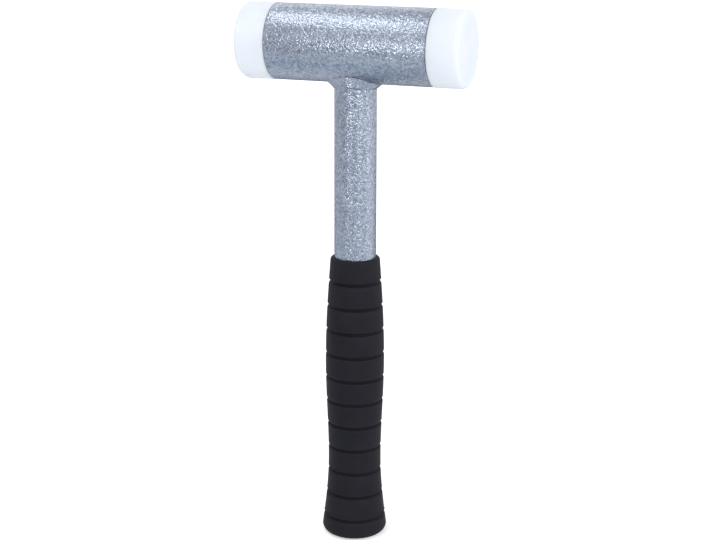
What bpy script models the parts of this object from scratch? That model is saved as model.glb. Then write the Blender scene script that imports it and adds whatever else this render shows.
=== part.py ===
"""Dead blow hammer: a steel tube head half filled with loose shot, pressed-in nylon faces,
a tubular handle under a flared collar, and a grooved rubber grip.

Metres, +Z up. The origin is the middle of the flat end of the grip, +Z runs up the handle
to the head, and the head lies along X.
"""

from math import cos, pi, radians, sin, sqrt

import bpy

# Head: a drawn steel tube, bored from both ends to a shoulder behind each face
HEAD_DIAMETER = 0.0450
HEAD_LENGTH = 0.0980
HEAD_WALL = 0.0045
HEAD_EDGE = 0.0005
SHOULDER_WIDTH = 0.0010

# Nylon faces: a spigot pressed into the housing and a proud striking end
FACE_PROUD = 0.0196
FACE_OVERHANG = 0.0002
FACE_EDGE_RADIUS = 0.0032
SPIGOT_LENGTH = 0.0140
SPIGOT_CHAMFER = 0.0010

# Steel discs that close the shot chamber behind the faces
DISC_THICKNESS = 0.0030

# Shot: steel balls that nestle on the bottom of the chamber. Balls in each row of a layer,
# from the bottom up, and layers along the chamber, which leaves them room to run to and fro
SHOT_DIAMETER = 0.0090
SHOT_ROWS = (2, 3, 2)
SHOT_LAYERS = 5

# Handle: a straight steel tube from the end of the grip up to the head
HANDLE_DIAMETER = 0.0252
HANDLE_WALL = 0.0020
BARE_HANDLE_LENGTH = 0.1014

# Neck collar: flares from the handle to the underside of the head, further along the head than
# across it, and its lower edge climbs at the front and back as the head curves away
COLLAR_LENGTH = 0.0334
COLLAR_WIDTH = 0.0284
COLLAR_BELOW_HEAD = 0.0031
COLLAR_FRONT_RISE = 0.0023
COLLAR_LIP = 0.0003

# Rubber grip: wall thickness over the handle at four stations, and their heights
GRIP_LENGTH = 0.1776
GRIP_END_THICKNESS = 0.0060
GRIP_RIM_WALL = 0.0024
GRIP_BELLY_WALL = 0.0053
GRIP_BELLY_HEIGHT = 0.1120
GRIP_WAIST_WALL = 0.0036
GRIP_WAIST_HEIGHT = 0.0500
GRIP_FLARE_WALL = 0.0073
GRIP_RIM_RADIUS = 0.0020
GRIP_END_RADIUS = 0.0045

# Grip grooves: rings cut round the sleeve at an even pitch
GROOVE_COUNT = 11
GROOVE_WIDTH = 0.0022
GROOVE_FLOOR = 0.0010
GROOVE_DEPTH = 0.0014
RIM_BAND = 0.0146
END_BAND = 0.0121

# Clearances where pieces seat on or slip over one another
SEAT_GAP = 0.0003
SLEEVE_GAP = 0.00015

# Facets round the head, the handle and the grip, along a rounded edge or a band, and in a ball
HEAD_STEPS = 48
HANDLE_STEPS = 40
EDGE_STEPS = 4
BAND_STEPS = 2
BALL_STEPS = 2
SMOOTH_ANGLE = radians(32)
MERGE_DISTANCE = 0.00001

# Sizes that follow from the ones above
head_radius = HEAD_DIAMETER / 2
handle_radius = HANDLE_DIAMETER / 2
chamber_radius = head_radius - HEAD_WALL
socket_radius = chamber_radius + SHOULDER_WIDTH
spigot_radius = socket_radius - SLEEVE_GAP
face_radius = head_radius + FACE_OVERHANG
face_seat = HEAD_LENGTH / 2 + SEAT_GAP
spigot_end = face_seat - SPIGOT_LENGTH
disc_outer = spigot_end - SEAT_GAP
disc_inner = disc_outer - DISC_THICKNESS
shoulder = disc_inner - SEAT_GAP
collar_bottom = GRIP_LENGTH + BARE_HANDLE_LENGTH
head_height = collar_bottom + COLLAR_BELOW_HEAD + head_radius
grip_bore_radius = handle_radius + SLEEVE_GAP


def clear_scene():
    for obj in list(bpy.data.objects):
        bpy.data.objects.remove(obj, do_unlink=True)


def new_collection(name):
    collection = bpy.data.collections.new(name)
    bpy.context.scene.collection.children.link(collection)
    return collection


def new_material(name, color, roughness, metallic):
    material = bpy.data.materials.new(name)
    material.use_nodes = True
    shader = material.node_tree.nodes["Principled BSDF"]
    shader.inputs["Base Color"].default_value = (*color, 1.0)
    shader.inputs["Roughness"].default_value = roughness
    shader.inputs["Metallic"].default_value = metallic
    return material


def edge_arc(centre_radius, centre_height, edge_radius, start, stop):
    """Points (radius, height) on a rounded edge, from one angle to another."""
    points = []
    for step in range(EDGE_STEPS + 1):
        angle = start + (stop - start) * step / EDGE_STEPS
        radius = centre_radius + edge_radius * cos(angle)
        height = centre_height + edge_radius * sin(angle)
        points.append((radius, height))
    return points


def turned(name, profile, steps, collection, closed=False):
    """A turned piece: its profile of (radius, height) points swept round the object's own Z."""
    mesh = bpy.data.meshes.new(name)
    edges = [(i, i + 1) for i in range(len(profile) - 1)]
    if closed:
        edges.append((len(profile) - 1, 0))
    mesh.from_pydata([(radius, 0.0, height) for radius, height in profile], edges, [])
    obj = bpy.data.objects.new(name, mesh)
    collection.objects.link(obj)
    turn = obj.modifiers.new("Turn", "SCREW")
    turn.axis = "Z"
    turn.angle = 2 * pi
    turn.steps = steps
    turn.render_steps = steps
    turn.use_merge_vertices = True
    turn.merge_threshold = MERGE_DISTANCE
    turn.use_smooth_shade = True
    return obj


def lay_along_head(obj, sign=1):
    """Turns a piece so that its own Z points along +X or -X, on the axis of the head."""
    obj.rotation_euler = (0.0, sign * pi / 2, 0.0)
    obj.location = (0.0, 0.0, head_height)


def cut(obj, cutter):
    boolean = obj.modifiers.new("Cut", "BOOLEAN")
    boolean.operation = "DIFFERENCE"
    boolean.solver = "EXACT"
    boolean.object = cutter


def finish(obj, material):
    """Settles the modifiers into the mesh, shades it smooth with crisp edges, and paints it."""
    bpy.context.view_layer.update()
    graph = bpy.context.evaluated_depsgraph_get()
    settled = bpy.data.meshes.new_from_object(obj.evaluated_get(graph))
    obj.modifiers.clear()
    obj.data = settled
    settled.shade_smooth()
    settled.set_sharp_from_angle(angle=SMOOTH_ANGLE)
    settled.materials.clear()
    settled.materials.append(material)


clear_scene()
hammer = new_collection("dead_blow_hammer")
cutters = new_collection("cutters")
cutters.hide_render = True

paint = new_material("hammertone_paint", (0.30, 0.34, 0.44), 0.35, 0.6)
nylon = new_material("white_nylon", (0.86, 0.89, 0.92), 0.4, 0.0)
rubber = new_material("black_rubber", (0.021, 0.022, 0.027), 0.6, 0.0)
steel = new_material("bare_steel", (0.55, 0.56, 0.58), 0.3, 1.0)

# Head housing: the tube with a plain chamber between two wider sockets
half_length = HEAD_LENGTH / 2
housing_profile = [
    (head_radius - HEAD_EDGE, half_length),
    (head_radius, half_length - HEAD_EDGE),
    (head_radius, -half_length + HEAD_EDGE),
    (head_radius - HEAD_EDGE, -half_length),
    (socket_radius, -half_length),
    (socket_radius, -shoulder),
    (chamber_radius, -shoulder),
    (chamber_radius, shoulder),
    (socket_radius, shoulder),
    (socket_radius, half_length),
]
housing = turned("head_housing", housing_profile, HEAD_STEPS, hammer, closed=True)
lay_along_head(housing)
finish(housing, paint)

# Faces: striking end, rounded rim, and the spigot that presses into the housing
face_end = HEAD_LENGTH / 2 + FACE_PROUD
rim_centre = face_radius - FACE_EDGE_RADIUS
face_profile = [(0.0, face_end)]
face_profile += edge_arc(rim_centre, face_end - FACE_EDGE_RADIUS, FACE_EDGE_RADIUS, pi / 2, 0.0)
face_profile += [
    (face_radius, face_seat + HEAD_EDGE),
    (face_radius - HEAD_EDGE, face_seat),
    (spigot_radius, face_seat),
    (spigot_radius, spigot_end + SPIGOT_CHAMFER),
    (spigot_radius - SPIGOT_CHAMFER, spigot_end),
    (0.0, spigot_end),
]
for side, sign in (("left", -1), ("right", 1)):
    face = turned(f"{side}_face", face_profile, HEAD_STEPS, hammer)
    lay_along_head(face, sign)
    finish(face, nylon)

# Chamber discs: held between the housing's shoulder and the end of each spigot
disc_profile = [
    (0.0, disc_outer),
    (spigot_radius, disc_outer),
    (spigot_radius, disc_inner),
    (0.0, disc_inner),
]
for side, sign in (("left", -1), ("right", 1)):
    disc = turned(f"{side}_chamber_disc", disc_profile, HEAD_STEPS, hammer)
    lay_along_head(disc, sign)
    finish(disc, steel)

# Saddle cutter: the outside of the head with room for a seat
saddle_radius = head_radius + SEAT_GAP
saddle_profile = [
    (0.0, half_length),
    (saddle_radius, half_length),
    (saddle_radius, -half_length),
    (0.0, -half_length),
]
saddle = turned("saddle_cutter", saddle_profile, HEAD_STEPS, cutters)
lay_along_head(saddle)
saddle.hide_render = True
saddle.display_type = "WIRE"

# Handle tube: stands on the blind end of the grip and is mitred to the underside of the head
handle_inner = handle_radius - HANDLE_WALL
handle_bottom = GRIP_END_THICKNESS + SEAT_GAP
handle_profile = [
    (handle_radius, head_height),
    (handle_radius, handle_bottom),
    (handle_inner, handle_bottom),
    (handle_inner, head_height),
]
handle = turned("handle_tube", handle_profile, HANDLE_STEPS, hammer, closed=True)
cut(handle, saddle)
finish(handle, paint)

# Neck collar: sections round the handle, each slanting from its foot on the handle out to its toe
# on the head, with the head's saddle cut into their tops
collar_bore = handle_radius + SLEEVE_GAP
collar_foot = collar_bore + COLLAR_LIP
collar_corners = 5
collar_points = []
collar_faces = []
for step in range(HANDLE_STEPS):
    angle = 2 * pi * step / HANDLE_STEPS
    front = sin(angle) ** 2
    toe = COLLAR_LENGTH / 2 * (1 - front) + COLLAR_WIDTH / 2 * front
    toe_height = head_height - sqrt(head_radius**2 - (toe * sin(angle)) ** 2)
    foot_height = collar_bottom + COLLAR_FRONT_RISE * front
    section = [
        (collar_bore, head_height),
        (toe, head_height),
        (toe, toe_height),
        (collar_foot, foot_height),
        (collar_bore, foot_height),
    ]
    for radius, height in section:
        collar_points.append((radius * cos(angle), radius * sin(angle), height))
    here = step * collar_corners
    ahead = (step + 1) % HANDLE_STEPS * collar_corners
    for corner in range(collar_corners):
        below = (corner + 1) % collar_corners
        collar_faces.append((here + corner, here + below, ahead + below, ahead + corner))
collar_mesh = bpy.data.meshes.new("neck_collar")
collar_mesh.from_pydata(collar_points, [], collar_faces)
collar = bpy.data.objects.new("neck_collar", collar_mesh)
hammer.objects.link(collar)
cut(collar, saddle)
finish(collar, paint)


# Grip: the swelling outline of the sleeve, with a groove between each pair of bands
def grip_radius(height):
    """Outer radius of the sleeve: it swells from the rim to the belly, draws in to the waist
    and flares to the end."""
    rim_height = GRIP_LENGTH - GRIP_RIM_RADIUS
    if height > GRIP_BELLY_HEIGHT:
        share = (rim_height - height) / (rim_height - GRIP_BELLY_HEIGHT)
        wall = GRIP_RIM_WALL + (GRIP_BELLY_WALL - GRIP_RIM_WALL) * sin(share * pi / 2)
    elif height > GRIP_WAIST_HEIGHT:
        share = (GRIP_BELLY_HEIGHT - height) / (GRIP_BELLY_HEIGHT - GRIP_WAIST_HEIGHT)
        swell = (1 + cos(share * pi)) / 2
        wall = GRIP_WAIST_WALL + (GRIP_BELLY_WALL - GRIP_WAIST_WALL) * swell
    else:
        share = (GRIP_WAIST_HEIGHT - height) / (GRIP_WAIST_HEIGHT - GRIP_END_RADIUS)
        flare = 1 - cos(share * pi / 2)
        wall = GRIP_WAIST_WALL + (GRIP_FLARE_WALL - GRIP_WAIST_WALL) * flare
    return handle_radius + wall


def band(top, bottom):
    """Points down one band of the sleeve, from its top edge to its bottom edge."""
    points = []
    for step in range(BAND_STEPS + 1):
        height = top + (bottom - top) * step / BAND_STEPS
        points.append((grip_radius(height), height))
    return points


groove_pitch = (GRIP_LENGTH - RIM_BAND - END_BAND) / (GROOVE_COUNT - 1)
rim_start = GRIP_LENGTH - GRIP_RIM_RADIUS
grip_profile = [
    (0.0, GRIP_END_THICKNESS),
    (grip_bore_radius, GRIP_END_THICKNESS),
    (grip_bore_radius, GRIP_LENGTH),
]
grip_profile += edge_arc(
    grip_radius(rim_start) - GRIP_RIM_RADIUS, rim_start, GRIP_RIM_RADIUS, pi / 2, 0.0
)[:-1]
band_top = rim_start
for groove in range(GROOVE_COUNT):
    middle = GRIP_LENGTH - RIM_BAND - groove * groove_pitch
    floor_radius = grip_radius(middle) - GROOVE_DEPTH
    grip_profile += band(band_top, middle + GROOVE_WIDTH / 2)
    grip_profile += [
        (floor_radius, middle + GROOVE_FLOOR / 2),
        (floor_radius, middle - GROOVE_FLOOR / 2),
    ]
    band_top = middle - GROOVE_WIDTH / 2
grip_profile += band(band_top, GRIP_END_RADIUS)[:-1]
grip_profile += edge_arc(
    grip_radius(GRIP_END_RADIUS) - GRIP_END_RADIUS, GRIP_END_RADIUS, GRIP_END_RADIUS, 0.0, -pi / 2
)
grip_profile.append((0.0, 0.0))
grip = turned("grip", grip_profile, HANDLE_STEPS, hammer)
finish(grip, rubber)

# Shot: rows of balls across the chamber, each nestled in the row below, in layers along it
shot_radius = SHOT_DIAMETER / 2
shot_pitch = SHOT_DIAMETER + SEAT_GAP
shot_reach = chamber_radius - shot_radius - SEAT_GAP
lowest_half_width = (SHOT_ROWS[0] - 1) * shot_pitch / 2
lowest_row = -sqrt(shot_reach**2 - lowest_half_width**2)
row_rise = shot_pitch * sin(pi / 3)
places = []
for row, in_row in enumerate(SHOT_ROWS):
    row_height = lowest_row + row * row_rise
    for ball in range(in_row):
        places.append(((ball - (in_row - 1) / 2) * shot_pitch, row_height))

shot_slide = bpy.data.objects.new("shot_slide", None)
shot_slide.location = (0.0, 0.0, head_height)
hammer.objects.link(shot_slide)
bpy.ops.mesh.primitive_ico_sphere_add(subdivisions=BALL_STEPS, radius=shot_radius)
pattern = bpy.context.object
ball_mesh = pattern.data
bpy.data.objects.remove(pattern, do_unlink=True)
ball_mesh.shade_smooth()
ball_mesh.materials.append(steel)
number = 0
for layer in range(SHOT_LAYERS):
    along = (layer - (SHOT_LAYERS - 1) / 2) * shot_pitch
    for across, up in places:
        number += 1
        ball = bpy.data.objects.new(f"shot_{number:02d}", ball_mesh)
        hammer.objects.link(ball)
        ball.parent = shot_slide
        ball.location = (along, across, up)
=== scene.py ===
from math import cos, pi, radians, sin, sqrt

import bmesh
import bpy
from mathutils import Matrix, Vector


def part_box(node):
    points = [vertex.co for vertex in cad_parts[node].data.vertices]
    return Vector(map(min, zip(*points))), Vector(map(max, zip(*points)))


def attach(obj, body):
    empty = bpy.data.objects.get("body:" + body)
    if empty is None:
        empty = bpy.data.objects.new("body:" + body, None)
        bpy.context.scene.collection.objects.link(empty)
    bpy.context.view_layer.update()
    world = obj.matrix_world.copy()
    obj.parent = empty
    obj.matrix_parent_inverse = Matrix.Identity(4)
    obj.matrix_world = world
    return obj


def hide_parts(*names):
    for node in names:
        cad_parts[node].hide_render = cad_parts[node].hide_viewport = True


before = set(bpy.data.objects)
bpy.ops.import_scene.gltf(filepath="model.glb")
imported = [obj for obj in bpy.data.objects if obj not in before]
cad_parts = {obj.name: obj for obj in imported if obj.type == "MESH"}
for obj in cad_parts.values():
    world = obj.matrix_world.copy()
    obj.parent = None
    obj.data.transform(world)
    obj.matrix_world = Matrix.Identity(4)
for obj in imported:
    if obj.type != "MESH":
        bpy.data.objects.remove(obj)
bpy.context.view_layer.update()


# Head housing: a length of drawn steel tube that lies across the top of the hammer and holds the
# shot. Both ends are bored out to a shoulder for the faces, and the outside is sprayed with
# silver hammertone paint, which flows into small shiny cells as it dries.
housing_low, housing_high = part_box("head_housing")
head_radius = (housing_high.z - housing_low.z) / 2
head_height = (housing_high.z + housing_low.z) / 2
head_half = housing_high.x
head_wall = 0.0045
socket_wall = 0.0035
socket_depth = 0.0173
head_edge = 0.0004
head_steps = 160
crisp_angle = 35


def rounded_edge(centre_radius, centre_height, radius, start, stop, steps):
    """Points (radius, height) round an edge, between two angles in degrees."""
    points = []
    for step in range(steps + 1):
        angle = radians(start + (stop - start) * step / steps)
        points.append((centre_radius + radius * cos(angle), centre_height + radius * sin(angle)))
    return points


def placed_piece(name, bm):
    """An object in the scene from a finished mesh."""
    mesh = bpy.data.meshes.new(name)
    bm.to_mesh(mesh)
    bm.free()
    piece = bpy.data.objects.new(name, mesh)
    bpy.context.scene.collection.objects.link(piece)
    return piece


def smooth_piece(name, bm, crisp):
    """A placed piece that is smooth but for edges sharper than an angle in degrees."""
    piece = placed_piece(name, bm)
    piece.data.shade_smooth()
    piece.data.set_sharp_from_angle(angle=radians(crisp))
    return piece


def turned_piece(name, profile, steps, closed=False, crisp=crisp_angle):
    """An object swept round its own Z from (radius, height) points that run down its outside."""
    bm = bmesh.new()
    rings = []
    for radius, height in profile:
        if radius == 0.0:
            rings.append([bm.verts.new((0.0, 0.0, height))])
            continue
        ring = []
        for step in range(steps):
            angle = 2 * pi * step / steps
            ring.append(bm.verts.new((radius * cos(angle), radius * sin(angle), height)))
        rings.append(ring)
    pairs = list(zip(rings, rings[1:]))
    if closed:
        pairs.append((rings[-1], rings[0]))
    for upper, lower in pairs:
        for step in range(steps):
            after = (step + 1) % steps
            if len(upper) == 1:
                bm.faces.new((upper[0], lower[step], lower[after]))
            elif len(lower) == 1:
                bm.faces.new((upper[step], lower[0], upper[after]))
            else:
                bm.faces.new((upper[step], lower[step], lower[after], upper[after]))
    return smooth_piece(name, bm, crisp)


def lie_along_head(piece, side=1):
    """Lays a turned piece on the axis of the head, its own Z pointing to +X or -X."""
    turn = Matrix.Rotation(side * pi / 2, 4, "Y")
    piece.data.transform(Matrix.Translation((0.0, 0.0, head_height)) @ turn)


outer_edge = head_half - head_edge
socket_floor = head_half - socket_depth
housing_profile = rounded_edge(head_radius - head_edge, outer_edge, head_edge, 90, 0, 4)
housing_profile += rounded_edge(head_radius - head_edge, -outer_edge, head_edge, 0, -90, 4)
housing_profile += [
    (head_radius - socket_wall, -head_half),
    (head_radius - socket_wall, -socket_floor),
    (head_radius - head_wall, -socket_floor),
    (head_radius - head_wall, socket_floor),
    (head_radius - socket_wall, socket_floor),
    (head_radius - socket_wall, head_half),
]
housing = turned_piece("painted_housing", housing_profile, head_steps, closed=True)
lie_along_head(housing)


def add_node(tree, kind, label, **settings):
    """Places a node and sets its properties, and its inputs by name."""
    node = tree.nodes.new(kind)
    node.label = label
    for key, value in settings.items():
        if hasattr(node, key):
            setattr(node, key, value)
        else:
            node.inputs[key.replace("_", " ").title()].default_value = value
    return node


def new_finish(name):
    """A material with its shader, and its node tree."""
    material = bpy.data.materials.new(name)
    material.use_nodes = True
    tree = material.node_tree
    return material, tree, tree.nodes["Principled BSDF"]


uneven = bpy.data.node_groups.new("clouding_and_grain", "ShaderNodeTree")
uneven.interface.new_socket("Place", in_out="INPUT", socket_type="NodeSocketVector")
uneven_in = uneven.nodes.new("NodeGroupInput")
uneven_out = uneven.nodes.new("NodeGroupOutput")
for effect, detail in (("Cloud", 3.0), ("Grain", 2.0)):
    size = effect + " Scale"
    uneven.interface.new_socket(size, in_out="INPUT", socket_type="NodeSocketFloat")
    uneven.interface.new_socket(effect, in_out="OUTPUT", socket_type="NodeSocketFloat")
    noise = add_node(uneven, "ShaderNodeTexNoise", effect.lower(), detail=detail)
    uneven.links.new(uneven_in.outputs["Place"], noise.inputs["Vector"])
    uneven.links.new(uneven_in.outputs[size], noise.inputs["Scale"])
    uneven.links.new(noise.outputs["Fac"], uneven_out.inputs[effect])


def clouding_and_grain(tree, place, cloud_scale, grain_scale):
    """Places the group that gives a finish its slow clouding and its fine grain."""
    group = tree.nodes.new("ShaderNodeGroup")
    group.node_tree = uneven
    group.inputs["Cloud Scale"].default_value = cloud_scale
    group.inputs["Grain Scale"].default_value = grain_scale
    tree.links.new(place.outputs["Object"], group.inputs["Place"])
    return group


paint, paint_tree, paint_shader = new_finish("hammertone_paint")
paint_place = add_node(paint_tree, "ShaderNodeTexCoord", "place on the piece")
paint_uneven = clouding_and_grain(paint_tree, paint_place, 150.0, 2600.0)
paint_flow = add_node(
    paint_tree, "ShaderNodeTexNoise", "flow of the wet paint", scale=330.0, detail=2.0
)
paint_tree.links.new(paint_place.outputs["Object"], paint_flow.inputs["Vector"])
flow_reach = 0.0018
flow_shift = add_node(
    paint_tree, "ShaderNodeVectorMath", "shift by the flow", operation="MULTIPLY_ADD"
)
flow_shift.inputs[1].default_value = (flow_reach, flow_reach, flow_reach)
paint_tree.links.new(paint_flow.outputs["Color"], flow_shift.inputs[0])
paint_tree.links.new(paint_place.outputs["Object"], flow_shift.inputs[2])
paint_cells = add_node(
    paint_tree, "ShaderNodeTexVoronoi", "cells", feature="DISTANCE_TO_EDGE", scale=560.0
)
paint_tree.links.new(flow_shift.outputs["Vector"], paint_cells.inputs["Vector"])
cell_dome = add_node(
    paint_tree, "ShaderNodeMapRange", "domed cells", interpolation_type="SMOOTHSTEP"
)
cell_dome.inputs["From Max"].default_value = 0.34
paint_tree.links.new(paint_cells.outputs["Distance"], cell_dome.inputs["Value"])
paint_worm = add_node(
    paint_tree, "ShaderNodeTexNoise", "ridges between the cells",
    scale=620.0, detail=0.4, distortion=0.7,
)
paint_tree.links.new(paint_place.outputs["Object"], paint_worm.inputs["Vector"])
ridge = add_node(paint_tree, "ShaderNodeMapRange", "steep ridges")
ridge.inputs["From Min"].default_value = 0.28
ridge.inputs["From Max"].default_value = 0.72
paint_tree.links.new(paint_worm.outputs["Fac"], ridge.inputs["Value"])
cell_mix = add_node(paint_tree, "ShaderNodeMath", "cells with ridges", operation="MULTIPLY_ADD")
cell_mix.inputs[1].default_value = 0.35
paint_tree.links.new(cell_dome.outputs["Result"], cell_mix.inputs[0])
paint_tree.links.new(ridge.outputs["Result"], cell_mix.inputs[2])
cell_colour = add_node(paint_tree, "ShaderNodeValToRGB", "veins and cells")
cell_colour.color_ramp.elements[0].color = (0.128, 0.154, 0.206, 1.0)
cell_colour.color_ramp.elements[1].color = (0.304, 0.352, 0.447, 1.0)
cell_colour.color_ramp.elements[1].position = 0.9
cell_level = add_node(paint_tree, "ShaderNodeMapRange", "level of the paint")
cell_level.inputs["From Max"].default_value = 1.35
paint_tree.links.new(cell_mix.outputs["Value"], cell_level.inputs["Value"])
paint_tree.links.new(cell_level.outputs["Result"], cell_colour.inputs["Fac"])
flake_colour = add_node(paint_tree, "ShaderNodeMix", "flake in the colour", data_type="RGBA")
flake_colour.blend_type = "OVERLAY"
flake_colour.inputs["Factor"].default_value = 0.25
paint_tree.links.new(cell_colour.outputs["Color"], flake_colour.inputs[6])
paint_tree.links.new(paint_uneven.outputs["Grain"], flake_colour.inputs[7])
paint_tree.links.new(flake_colour.outputs[2], paint_shader.inputs["Base Color"])
gloss = add_node(paint_tree, "ShaderNodeMapRange", "gloss by thickness")
gloss.inputs["To Min"].default_value = 0.40
gloss.inputs["To Max"].default_value = 0.30
paint_tree.links.new(paint_uneven.outputs["Cloud"], gloss.inputs["Value"])
paint_tree.links.new(gloss.outputs["Result"], paint_shader.inputs["Roughness"])
paint_height = add_node(paint_tree, "ShaderNodeMath", "cells and flake", operation="MULTIPLY_ADD")
paint_height.inputs[1].default_value = 0.12
paint_tree.links.new(paint_uneven.outputs["Grain"], paint_height.inputs[0])
paint_tree.links.new(cell_mix.outputs["Value"], paint_height.inputs[2])
paint_relief = add_node(paint_tree, "ShaderNodeBump", "relief", strength=1.0, distance=0.00018)
paint_tree.links.new(paint_height.outputs["Value"], paint_relief.inputs["Height"])
paint_tree.links.new(paint_relief.outputs["Normal"], paint_shader.inputs["Normal"])
paint_shader.inputs["Metallic"].default_value = 0.85
paint_shader.inputs["Specular Tint"].default_value = (0.50, 0.53, 0.58, 1.0)
paint_shader.inputs["Coat Weight"].default_value = 0.45
paint_shader.inputs["Coat IOR"].default_value = 2.4
paint_shader.inputs["Coat Roughness"].default_value = 0.12
paint_tree.links.new(paint_relief.outputs["Normal"], paint_shader.inputs["Coat Normal"])

housing.data.materials.append(paint)
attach(housing, "hammer")
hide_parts("head_housing")


# Neck collar: the neck of weld metal between the handle and the head, dressed to a flare that
# reaches further along the head than across it, with a chamfer round its foot. It is painted
# with them.
collar_low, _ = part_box("neck_collar")
handle_low, handle_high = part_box("handle_tube")
handle_radius = handle_high.x
sleeve_gap = 0.00015
collar_bore = handle_radius + sleeve_gap
collar_foot = handle_radius + 0.0002
collar_along = 0.0167
collar_across = 0.0142
collar_rise = 0.0011
collar_hollow = 0.0001
collar_steps = 8
collar_chamfer = 0.0013
chamfer_least = 0.0002
seam_gap = 0.00003


def saddle(reach):
    """Height of the head's underside, less a hair line, at a distance in front of its axis."""
    return head_height - sqrt((head_radius + seam_gap) ** 2 - reach**2)


def ringed_piece(name, section):
    """An object from closed sections of (radius, height) points, one for each angle round Z."""
    bm = bmesh.new()
    rings = []
    for step in range(head_steps):
        angle = 2 * pi * step / head_steps
        rings.append([
            bm.verts.new((radius * cos(angle), radius * sin(angle), height))
            for radius, height in section(angle)
        ])
    for here, ahead in zip(rings, rings[1:] + rings[:1]):
        for corner in range(len(here)):
            below = (corner + 1) % len(here)
            bm.faces.new((here[corner], here[below], ahead[below], ahead[corner]))
    return smooth_piece(name, bm, crisp_angle)


def collar_section(angle):
    """Round the collar at one angle: saddle, a slightly hollow flare, a chamfer and the bore."""
    front = sin(angle) ** 2
    toe = collar_along * (1 - front) + collar_across * front
    toe_height = saddle(toe * sin(angle))
    foot_height = collar_low.z + collar_rise * front
    chamfer = chamfer_least + (collar_chamfer - chamfer_least) * front
    points = [(collar_bore, saddle(collar_bore * sin(angle)))]
    for step in range(collar_steps + 1):
        share = step / collar_steps
        hollow = collar_hollow * 4 * share * (1 - share)
        radius = toe + (collar_foot + chamfer - toe) * share - hollow
        points.append((radius, toe_height + (foot_height + chamfer - toe_height) * share))
    points += [(collar_foot, foot_height), (collar_bore, foot_height)]
    return points


collar = ringed_piece("painted_collar", collar_section)
collar.data.materials.append(paint)
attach(collar, "hammer")
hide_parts("neck_collar")


# Handle: a straight steel tube, mitred to the underside of the head inside the collar, and
# painted with it. Its lower end runs down into the grip.
handle_wall = 0.0020
handle_bore = handle_radius - handle_wall


def handle_section(angle):
    """Round the wall of the tube at one angle, from the saddle at its top."""
    return [
        (handle_bore, saddle(handle_bore * sin(angle))),
        (handle_radius, saddle(handle_radius * sin(angle))),
        (handle_radius, handle_low.z),
        (handle_bore, handle_low.z),
    ]


handle = ringed_piece("painted_handle", handle_section)
handle.data.materials.append(paint)
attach(handle, "hammer")
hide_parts("handle_tube")


# Faces: turned from milky white nylon, with a rounded rim and a spigot that presses into the
# housing. A thin dark joint shows where the nylon meets the painted tube.
face_edge = 0.0032
joint_edge = 0.0006
spigot_length = 0.0140
spigot_chamfer = 0.0010
nylon, nylon_tree, nylon_shader = new_finish("milky_nylon")
nylon_place = add_node(nylon_tree, "ShaderNodeTexCoord", "place on the piece")
nylon_uneven = clouding_and_grain(nylon_tree, nylon_place, 60.0, 900.0)
nylon_colour = add_node(nylon_tree, "ShaderNodeValToRGB", "milky colour")
nylon_colour.color_ramp.elements[0].position = 0.3
nylon_colour.color_ramp.elements[0].color = (0.78, 0.82, 0.90, 1.0)
nylon_colour.color_ramp.elements[1].position = 0.7
nylon_colour.color_ramp.elements[1].color = (0.82, 0.86, 0.93, 1.0)
nylon_tree.links.new(nylon_uneven.outputs["Cloud"], nylon_colour.inputs["Fac"])
nylon_tree.links.new(nylon_colour.outputs["Color"], nylon_shader.inputs["Base Color"])
nylon_relief = add_node(
    nylon_tree, "ShaderNodeBump", "fine relief", strength=0.4, distance=0.00002
)
nylon_tree.links.new(nylon_uneven.outputs["Grain"], nylon_relief.inputs["Height"])
nylon_tree.links.new(nylon_relief.outputs["Normal"], nylon_shader.inputs["Normal"])
nylon_shader.inputs["Roughness"].default_value = 0.62
nylon_shader.inputs["Specular IOR Level"].default_value = 0.20
nylon_shader.inputs["Subsurface Weight"].default_value = 0.6
nylon_shader.inputs["Subsurface Radius"].default_value = (0.0070, 0.0072, 0.0078)
nylon_shader.inputs["Subsurface Scale"].default_value = 1.0
for side, sign in (("left", -1), ("right", 1)):
    face_low, face_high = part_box(side + "_face")
    face_radius = (face_high.z - face_low.z) / 2
    face_end = max(abs(face_low.x), abs(face_high.x))
    spigot_end = min(abs(face_low.x), abs(face_high.x))
    face_seat = spigot_end + spigot_length
    spigot_radius = head_radius - socket_wall - sleeve_gap
    face_profile = [(0.0, face_end)]
    face_profile += rounded_edge(
        face_radius - face_edge, face_end - face_edge, face_edge, 90, 0, 12
    )
    face_profile += rounded_edge(
        face_radius - joint_edge, face_seat + joint_edge, joint_edge, 0, -90, 4
    )
    face_profile += [
        (spigot_radius, face_seat),
        (spigot_radius, spigot_end + spigot_chamfer),
        (spigot_radius - spigot_chamfer, spigot_end),
        (0.0, spigot_end),
    ]
    face = turned_piece(side + "_nylon_face", face_profile, head_steps)
    lie_along_head(face, sign)
    face.data.materials.append(nylon)
    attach(face, side + "_face")
    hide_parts(side + "_face")


# Chamber discs and shot: plain steel discs close the chamber behind the faces, and the loose
# steel balls between them run to and fro. None of it is painted.
steel, steel_tree, steel_shader = new_finish("bare_steel")
steel_place = add_node(steel_tree, "ShaderNodeTexCoord", "place on the piece")
steel_uneven = clouding_and_grain(steel_tree, steel_place, 220.0, 1200.0)
steel_colour = add_node(steel_tree, "ShaderNodeValToRGB", "steel colour")
steel_colour.color_ramp.elements[0].color = (0.42, 0.42, 0.43, 1.0)
steel_colour.color_ramp.elements[1].color = (0.60, 0.60, 0.61, 1.0)
steel_tree.links.new(steel_uneven.outputs["Cloud"], steel_colour.inputs["Fac"])
steel_tree.links.new(steel_colour.outputs["Color"], steel_shader.inputs["Base Color"])
steel_gloss = add_node(steel_tree, "ShaderNodeMapRange", "gloss under the haze")
steel_gloss.inputs["To Min"].default_value = 0.22
steel_gloss.inputs["To Max"].default_value = 0.42
steel_tree.links.new(steel_uneven.outputs["Cloud"], steel_gloss.inputs["Value"])
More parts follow.
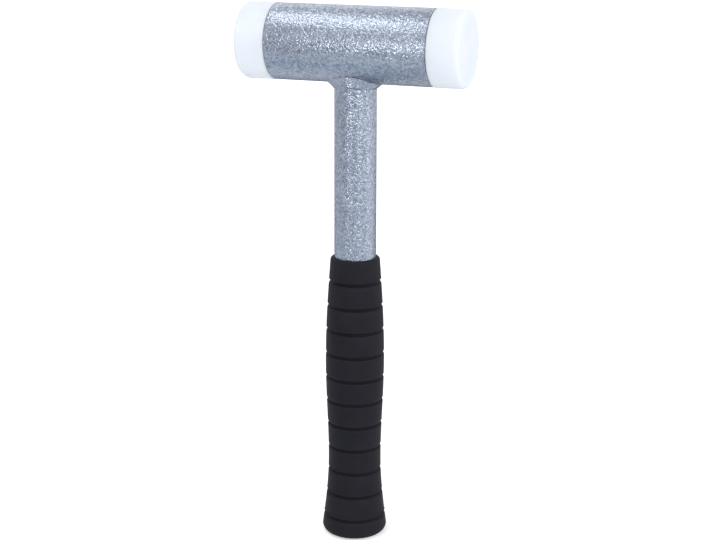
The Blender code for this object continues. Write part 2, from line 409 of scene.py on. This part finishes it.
steel_tree.links.new(steel_gloss.outputs["Result"], steel_shader.inputs["Roughness"])
steel_relief = add_node(
    steel_tree, "ShaderNodeBump", "ground relief", strength=0.3, distance=0.00002
)
steel_tree.links.new(steel_uneven.outputs["Grain"], steel_relief.inputs["Height"])
steel_tree.links.new(steel_relief.outputs["Normal"], steel_shader.inputs["Normal"])
steel_shader.inputs["Metallic"].default_value = 1.0
for name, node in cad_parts.items():
    if name.endswith("_chamber_disc"):
        node.data.materials.clear()
        node.data.materials.append(steel)

shot_names = sorted(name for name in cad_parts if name.startswith("shot_"))
shot_mesh = bmesh.new()
for name in shot_names:
    ball_low, ball_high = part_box(name)
    middle = (ball_low + ball_high) / 2
    ball_radius = (ball_high.z - ball_low.z) / 2
    bmesh.ops.create_icosphere(
        shot_mesh, subdivisions=3, radius=ball_radius, matrix=Matrix.Translation(middle)
    )
shot = placed_piece("loose_shot", shot_mesh)
shot.data.shade_smooth()
shot.data.materials.append(steel)
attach(shot, "shot")
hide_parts(*shot_names)


# Grip: a black rubber sleeve, moulded with a swelling belly, a waist and a flared end, and
# ringed by narrow grooves. It is pushed on over the handle up to its blind end.
_, grip_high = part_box("grip")
grip_length = grip_high.z
grip_steps = 144
rim_wall = 0.0024
belly_wall = 0.0053
belly_height = 0.1120
waist_wall = 0.0036
waist_height = 0.0500
flare_wall = 0.0073
grip_rim_radius = 0.0020
rim_start = grip_length - grip_rim_radius
grip_end_radius = 0.0045
grip_end_thickness = 0.0060
groove_count = 11
groove_half = 0.0009
groove_floor_half = groove_half / 2
groove_depth = 0.0014
groove_lip = 0.0006
band_shoulder = 0.0012
rim_band = 0.0146
end_band = 0.0121
band_steps = 8
soft_crisp_angle = 50


def grip_outline(height):
    """Radius of the sleeve: it swells from the rim to the belly, draws in and flares out."""
    if height > belly_height:
        share = (rim_start - height) / (rim_start - belly_height)
        wall = rim_wall + (belly_wall - rim_wall) * sin(share * pi / 2)
    elif height > waist_height:
        share = (belly_height - height) / (belly_height - waist_height)
        wall = waist_wall + (belly_wall - waist_wall) * (1 + cos(share * pi)) / 2
    else:
        share = (waist_height - height) / (waist_height - grip_end_radius)
        wall = waist_wall + (flare_wall - waist_wall) * (1 - cos(share * pi / 2))
    return handle_radius + wall


def grip_band(top, bottom):
    """Points down one band of the sleeve."""
    points = []
    for step in range(band_steps + 1):
        height = top + (bottom - top) * step / band_steps
        points.append((grip_outline(height), height))
    return points


groove_pitch = (grip_length - rim_band - end_band) / (groove_count - 1)
grip_profile = [
    (0.0, grip_end_thickness),
    (handle_radius + sleeve_gap, grip_end_thickness),
    (handle_radius + sleeve_gap, grip_length),
]
grip_profile += rounded_edge(
    grip_outline(rim_start) - grip_rim_radius, rim_start, grip_rim_radius, 90, 0, 8
)[:-1]
band_top = rim_start
for groove in range(groove_count):
    middle = grip_length - rim_band - groove * groove_pitch
    edge = grip_outline(middle)
    grip_profile += grip_band(band_top, middle + groove_half + groove_lip)
    grip_profile += rounded_edge(
        edge - groove_lip, middle + groove_half + groove_lip, groove_lip, -15, -75, 4
    )
    grip_profile += [
        (edge - groove_depth, middle + groove_floor_half),
        (edge - groove_depth, middle - groove_floor_half),
    ]
    grip_profile += rounded_edge(
        edge - band_shoulder, middle - groove_half - band_shoulder, band_shoulder, 75, 10, 6
    )
    band_top = middle - groove_half - band_shoulder
grip_profile += grip_band(band_top, grip_end_radius)[:-1]
grip_profile += rounded_edge(
    grip_outline(grip_end_radius) - grip_end_radius, grip_end_radius, grip_end_radius, 0, -90, 12
)
grip_profile.append((0.0, 0.0))
grip = turned_piece("rubber_grip", grip_profile, grip_steps, crisp=soft_crisp_angle)

rubber, rubber_tree, rubber_shader = new_finish("black_rubber")
rubber_place = add_node(rubber_tree, "ShaderNodeTexCoord", "place on the piece")
rubber_uneven = clouding_and_grain(rubber_tree, rubber_place, 90.0, 1800.0)
rubber_colour = add_node(rubber_tree, "ShaderNodeValToRGB", "black with a grey bloom")
rubber_colour.color_ramp.elements[0].position = 0.3
rubber_colour.color_ramp.elements[0].color = (0.0103, 0.0103, 0.0140, 1.0)
rubber_colour.color_ramp.elements[1].position = 0.75
rubber_colour.color_ramp.elements[1].color = (0.0140, 0.0140, 0.0185, 1.0)
rubber_tree.links.new(rubber_uneven.outputs["Cloud"], rubber_colour.inputs["Fac"])
# Painted light on the rubber: the colour is made lighter on the sharp lips of the bands as a
# painted highlight, and darker in the grooves as painted shade.
rubber_shape = add_node(rubber_tree, "ShaderNodeNewGeometry", "edges and hollows")
rubber_lip_highlight_groove_shade = add_node(rubber_tree, "ShaderNodeMapRange", "painted highlight on lips, painted shade in grooves")
rubber_lip_highlight_groove_shade.inputs["From Min"].default_value = 0.44
rubber_lip_highlight_groove_shade.inputs["From Max"].default_value = 0.56
rubber_lip_highlight_groove_shade.inputs["To Min"].default_value = 0.65
rubber_lip_highlight_groove_shade.inputs["To Max"].default_value = 1.5
rubber_tree.links.new(rubber_shape.outputs["Pointiness"], rubber_lip_highlight_groove_shade.inputs["Value"])
rubber_lit_and_shaded_colour = add_node(rubber_tree, "ShaderNodeVectorMath", "colour with painted light", operation="SCALE")
rubber_tree.links.new(rubber_colour.outputs["Color"], rubber_lit_and_shaded_colour.inputs[0])
rubber_tree.links.new(rubber_lip_highlight_groove_shade.outputs["Result"], rubber_lit_and_shaded_colour.inputs["Scale"])
rubber_tree.links.new(rubber_lit_and_shaded_colour.outputs["Vector"], rubber_shader.inputs["Base Color"])
rubber_relief = add_node(
    rubber_tree, "ShaderNodeBump", "grain relief", strength=0.6, distance=0.00004
)
rubber_tree.links.new(rubber_uneven.outputs["Grain"], rubber_relief.inputs["Height"])
rubber_tree.links.new(rubber_relief.outputs["Normal"], rubber_shader.inputs["Normal"])
rubber_gloss = add_node(rubber_tree, "ShaderNodeMapRange", "gloss under the bloom")
rubber_gloss.inputs["To Min"].default_value = 0.58
rubber_gloss.inputs["To Max"].default_value = 0.72
rubber_tree.links.new(rubber_uneven.outputs["Cloud"], rubber_gloss.inputs["Value"])
rubber_tree.links.new(rubber_gloss.outputs["Result"], rubber_shader.inputs["Roughness"])
rubber_shader.inputs["Specular IOR Level"].default_value = 0.10
grip.data.materials.append(rubber)
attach(grip, "hammer")
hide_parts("grip")


# Studio: a white floor that runs off to the horizon, soft boxes over and beside the hammer,
# cards that only its shiny paint mirrors, and a camera a little above the head, to its right.
floor_half = 6.0
floor_mesh = bmesh.new()
bmesh.ops.create_grid(floor_mesh, x_segments=2, y_segments=2, size=floor_half)
floor = placed_piece("studio_floor", floor_mesh)
sweep = bpy.data.materials.new("white_sweep")
sweep.use_nodes = True
sweep_tree = sweep.node_tree
sweep_tree.nodes.clear()
sweep_out = sweep_tree.nodes.new("ShaderNodeOutputMaterial")
sweep_paper = add_node(sweep_tree, "ShaderNodeBsdfDiffuse", "paper")
sweep_paper.inputs["Color"].default_value = (0.87, 0.87, 0.87, 1.0)
sweep_place = add_node(sweep_tree, "ShaderNodeTexCoord", "place on the floor")
sweep_far = add_node(
    sweep_tree, "ShaderNodeVectorMath", "distance from the hammer", operation="LENGTH"
)
sweep_tree.links.new(sweep_place.outputs["Object"], sweep_far.inputs[0])
sweep_rise = add_node(
    sweep_tree, "ShaderNodeMapRange", "paler with distance", interpolation_type="SMOOTHSTEP"
)
sweep_rise.inputs["From Min"].default_value = 0.35
sweep_rise.inputs["From Max"].default_value = 1.6
sweep_rise.inputs["To Min"].default_value = 0.42
sweep_rise.inputs["To Max"].default_value = 1.0
sweep_tree.links.new(sweep_far.outputs["Value"], sweep_rise.inputs["Value"])


def seen_or_mirrored(tree):
    """A mask that is 1 on what the camera sees straight, in a mirror or through glass."""
    rays = add_node(tree, "ShaderNodeLightPath", "kind of ray")
    mirrored = add_node(tree, "ShaderNodeMath", "mirrored", operation="MAXIMUM")
    tree.links.new(rays.outputs["Is Glossy Ray"], mirrored.inputs[0])
    tree.links.new(rays.outputs["Is Transmission Ray"], mirrored.inputs[1])
    seen = add_node(tree, "ShaderNodeMath", "seen or mirrored", operation="MAXIMUM")
    tree.links.new(rays.outputs["Is Camera Ray"], seen.inputs[0])
    tree.links.new(mirrored.outputs["Value"], seen.inputs[1])
    return seen


sweep_seen = seen_or_mirrored(sweep_tree)
sweep_lift = add_node(sweep_tree, "ShaderNodeMath", "lift to white", operation="MULTIPLY")
sweep_tree.links.new(sweep_seen.outputs["Value"], sweep_lift.inputs[0])
sweep_tree.links.new(sweep_rise.outputs["Result"], sweep_lift.inputs[1])
sweep_glow = add_node(sweep_tree, "ShaderNodeEmission", "white of the paper")
sweep_tree.links.new(sweep_lift.outputs["Value"], sweep_glow.inputs["Strength"])
sweep_sum = add_node(sweep_tree, "ShaderNodeAddShader", "paper and its white")
sweep_tree.links.new(sweep_paper.outputs["BSDF"], sweep_sum.inputs[0])
sweep_tree.links.new(sweep_glow.outputs["Emission"], sweep_sum.inputs[1])
sweep_tree.links.new(sweep_sum.outputs["Shader"], sweep_out.inputs["Surface"])
floor.data.materials.append(sweep)

world = bpy.data.worlds.new("studio_room")
bpy.context.scene.world = world
world.use_nodes = True
room_tree = world.node_tree
room_light = room_tree.nodes["Background"]
room_light.inputs["Color"].default_value = (0.93, 0.96, 1.0, 1.0)
room_light.inputs["Strength"].default_value = 0.50
room_white = add_node(room_tree, "ShaderNodeBackground", "white wall")
room_white.inputs["Color"].default_value = (1.0, 1.0, 1.0, 1.0)
room_seen = seen_or_mirrored(room_tree)
room_wall = add_node(room_tree, "ShaderNodeMixShader", "light or wall")
room_tree.links.new(room_seen.outputs["Value"], room_wall.inputs["Fac"])
room_tree.links.new(room_light.outputs["Background"], room_wall.inputs[1])
room_tree.links.new(room_white.outputs["Background"], room_wall.inputs[2])
room_tree.links.new(room_wall.outputs["Shader"], room_tree.nodes["World Output"].inputs["Surface"])


lamps_aim_at = Vector((0.0, 0.0, 0.25))


def soft_box(name, direction, distance, width, height, radiance):
    """A rectangular lamp that faces the middle of the hammer from a direction."""
    lamp = bpy.data.lights.new(name, "AREA")
    lamp.shape = "RECTANGLE"
    lamp.size = width
    lamp.size_y = height
    lamp.energy = radiance * pi * width * height
    box = bpy.data.objects.new(name, lamp)
    aim = Vector(direction).normalized()
    box.location = lamps_aim_at + aim * distance
    box.rotation_euler = aim.to_track_quat("Z", "Y").to_euler()
    bpy.context.scene.collection.objects.link(box)


soft_box("top_box", (-0.33, -0.23, 0.90), 1.5, 1.4, 0.46, 3.9)
soft_box("back_box", (-0.30, 0.80, 0.52), 1.5, 1.2, 0.45, 1.8)
soft_box("front_box", (0.64, -0.74, 0.20), 1.5, 0.42, 0.42, 8.2)
soft_box("left_front_box", (-0.16, -0.96, 0.03), 1.6, 0.30, 0.44, 5.2)
soft_box("near_box", (-0.09, -0.55, 0.10), 0.57, 0.08, 0.20, 7.6)
soft_box("right_strip", (1.0, 0.02, -0.02), 1.2, 0.06, 0.9, 7.0)
soft_box("right_fill", (0.90, 0.10, 0.45), 1.5, 0.8, 0.7, 3.3)


card_lift = 0.002


def reflected_card(name, colour, rows):
    """A card through rows of two points, which only shows in what is shiny."""
    card_paper, _, card_shader = new_finish(name)
    card_shader.inputs["Base Color"].default_value = (*colour, 1.0)
    card_shader.inputs["Roughness"].default_value = 0.9
    card_mesh = bmesh.new()
    card_rows = [[card_mesh.verts.new(point) for point in row] for row in rows]
    for near, far in zip(card_rows, card_rows[1:]):
        card_mesh.faces.new((near[0], near[1], far[1], far[0]))
    card = placed_piece(name, card_mesh)
    card.visible_camera = False
    card.visible_diffuse = False
    card.visible_shadow = False
    card.data.materials.append(card_paper)


reflected_card("front_card", (0.24, 0.26, 0.30), (
    ((-1.5, -0.7, card_lift), (0.7, -0.7, card_lift)),
    ((-1.5, -2.2, card_lift), (0.7, -2.2, card_lift)),
    ((-1.5, -2.2, 0.45), (0.7, -2.2, 0.45)),
))
reflected_card("near_card", (0.62, 0.74, 0.87), (
    ((-0.5, -0.24, card_lift), (0.5, -0.24, card_lift)),
    ((-0.5, -0.06, card_lift), (0.5, -0.06, card_lift)),
))
reflected_card("left_card", (0.16, 0.18, 0.22), (
    ((-1.3, -1.6, card_lift), (-1.3, 0.6, card_lift)),
    ((-1.3, -1.6, 0.13), (-1.3, 0.6, 0.13)),
))
reflected_card("side_card", (0.30, 0.32, 0.36), (
    ((0.29, -0.20, card_lift), (0.33, -0.11, card_lift)),
    ((1.05, -0.72, card_lift), (1.15, -0.38, card_lift)),
))
reflected_card("back_card", (0.40, 0.43, 0.48), (
    ((-0.7, 0.30, card_lift), (0.3, 0.30, card_lift)),
    ((-1.2, 1.5, card_lift), (0.5, 1.5, card_lift)),
))

camera_data = bpy.data.cameras.new("photo_view")
camera_data.sensor_width = 36.0
camera_data.lens = 75.42
camera_data.clip_start = 0.01
camera = bpy.data.objects.new("photo_view", camera_data)
camera_turn = Matrix.Rotation(radians(20.07), 4, "Z")
camera_tilt = Matrix.Rotation(pi / 2 - radians(15.11), 4, "X")
camera_roll = Matrix.Rotation(radians(0.18), 4, "Z")
camera_place = Vector((0.30173, -0.82087, 0.40501))
camera.matrix_world = Matrix.Translation(camera_place) @ camera_turn @ camera_tilt @ camera_roll
bpy.context.scene.collection.objects.link(camera)
bpy.context.scene.camera = camera
bpy.context.scene.view_settings.view_transform = "Standard"
